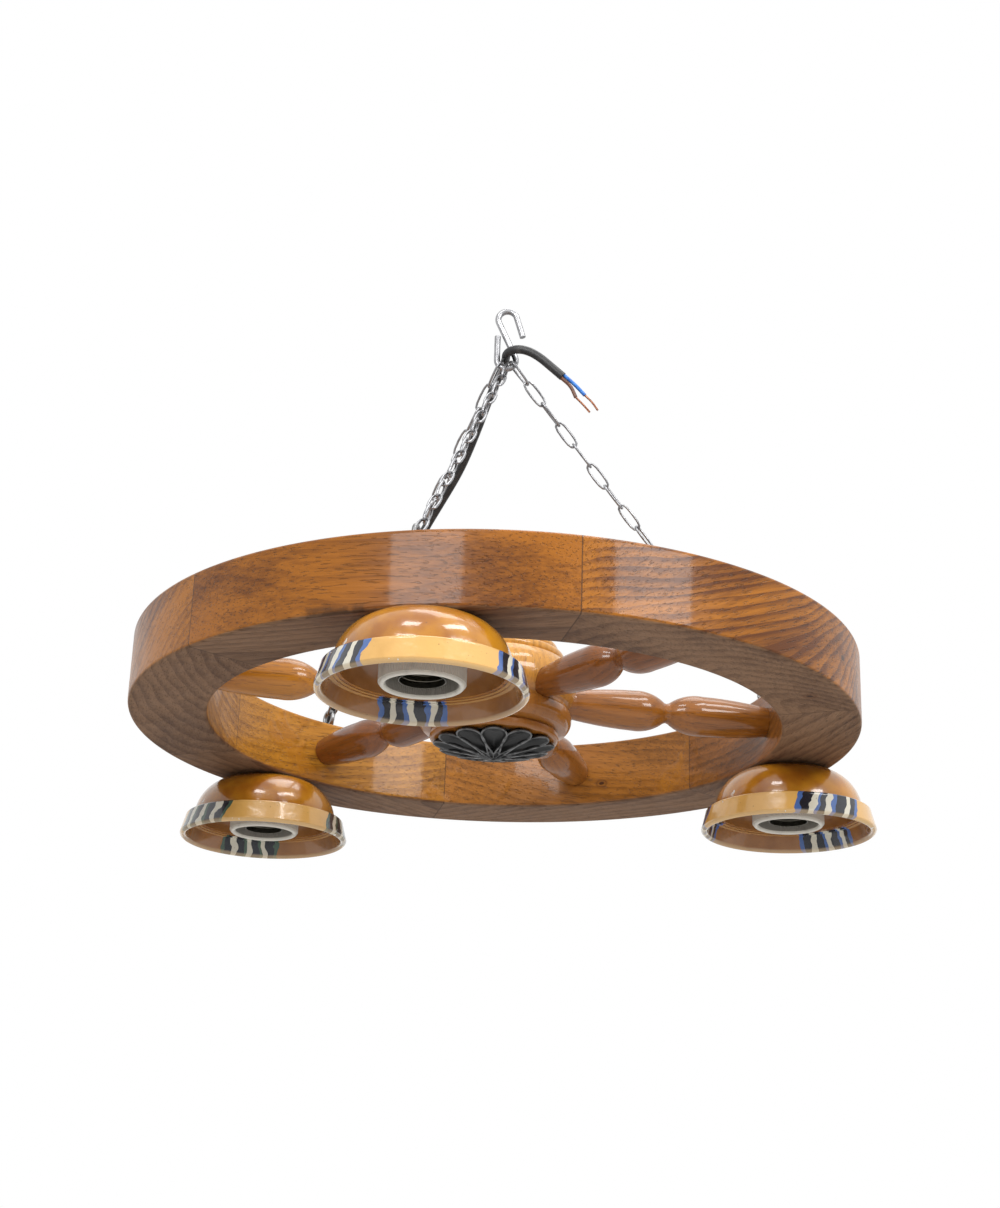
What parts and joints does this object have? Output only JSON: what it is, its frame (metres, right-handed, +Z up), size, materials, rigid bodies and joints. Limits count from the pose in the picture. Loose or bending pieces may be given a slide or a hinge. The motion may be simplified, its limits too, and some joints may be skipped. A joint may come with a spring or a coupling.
{
  "type": "wagon wheel chandelier",
  "caption": "Chandelier made from a wooden wagon wheel, with turned spokes and hub, ceramic shades under the rim, and chains that meet at an S-hook.",
  "frame": {"origin": "the hanging seat: the inside top of the S-hook's upper bend, on the wheel's axis", "axes": "+Z up along the wheel's axis; -Y is the front, as the picture shows it; +X to its right"},
  "size_m": [0.5263, 0.5349, 0.3777],
  "materials": {
    "rim_wood": "varnished",
    "dowel_wood": "plain",
    "turned_wood": "varnished",
    "slip_wood": "varnished",
    "black_iron": "satin black",
    "dark_screw": "black",
    "glazed_ceramic": "glazed, with painted stripes",
    "grey_plastic": "fine ribs",
    "core_plastic": "smooth",
    "socket_brass": "nickel-plated",
    "contact_brass": "bright",
    "tube_zinc": "zinc-plated",
    "twin_lead": "smooth",
    "sleeve_plastic": "smooth",
    "zinc_wire": "bright zinc-plated",
    "black_sheath": "satin",
    "brown_core": "smooth",
    "blue_core": "smooth",
    "bare_copper": "bright copper strands"
  },
  "bodies": {
    "hook": {"s_hook": "zinc_wire"},
    "lamp": {"felloe_1": "rim_wood", "felloe_2": "rim_wood", "felloe_3": "rim_wood", "felloe_4": "rim_wood", "felloe_5": "rim_wood", "felloe_6": "rim_wood", "joint_dowels": "dowel_wood", "hub": "turned_wood", "spoke_1": "turned_wood", "spoke_2": "turned_wood", "spoke_3": "turned_wood", "spoke_4": "turned_wood", "spoke_5": "turned_wood", "spoke_6": "turned_wood", "rosette": "black_iron", "rosette_screw": "dark_screw", "shade_1": "glazed_ceramic", "lampholder_skirt_1": "grey_plastic", "lampholder_core_1": "core_plastic", "screw_socket_1": "socket_brass", "threaded_tube_1": "tube_zinc", "shade_2": "glazed_ceramic", "lampholder_skirt_2": "grey_plastic", "lampholder_core_2": "core_plastic", "screw_socket_2": "socket_brass", "threaded_tube_2": "tube_zinc", "shade_3": "glazed_ceramic", "lampholder_skirt_3": "grey_plastic", "lampholder_core_3": "core_plastic", "screw_socket_3": "socket_brass", "threaded_tube_3": "tube_zinc", "tube_nuts": "tube_zinc", "tube_washers": "tube_zinc", "lamp_leads": "twin_lead", "splice_sleeve": "sleeve_plastic", "channel_slips": "slip_wood", "chain_right": "zinc_wire", "chain_rear_left": "zinc_wire", "chain_near_left": "zinc_wire", "eye_screw_right": "zinc_wire", "eye_screw_rear_left": "zinc_wire", "eye_screw_near_left": "zinc_wire", "mains_cable": "black_sheath", "core_brown": "brown_core", "core_blue": "blue_core", "copper_ends": "bare_copper"},
    "contact_1": {"centre_contact_1": "contact_brass"},
    "contact_2": {"centre_contact_2": "contact_brass"},
    "contact_3": {"centre_contact_3": "contact_brass"}
  },
  "joints": [
    {"name": "lamp_swing", "type": "hinge", "parent": "hook", "child": "lamp", "pos_m": [0, 0, -0.0386], "axis": [0, 1, 0], "range_deg": [-15, 15]},
    {"name": "contact_press_1", "type": "hinge", "parent": "lamp", "child": "contact_1", "pos_m": [0.20672, 0.07199, -0.34265], "axis": [0.3289, -0.9444, 0], "range_deg": [0, 6], "stiffness_Nm_per_rad": 0.45},
    {"name": "contact_press_2", "type": "hinge", "parent": "lamp", "child": "contact_2", "pos_m": [-0.16571, 0.14303, -0.34265], "axis": [0.6534, 0.757, 0], "range_deg": [0, 6], "stiffness_Nm_per_rad": 0.45},
    {"name": "contact_press_3", "type": "hinge", "parent": "lamp", "child": "contact_3", "pos_m": [-0.04102, -0.21502, -0.34265], "axis": [-0.9823, 0.1874, 0], "range_deg": [0, 6], "stiffness_Nm_per_rad": 0.45}
  ]
}
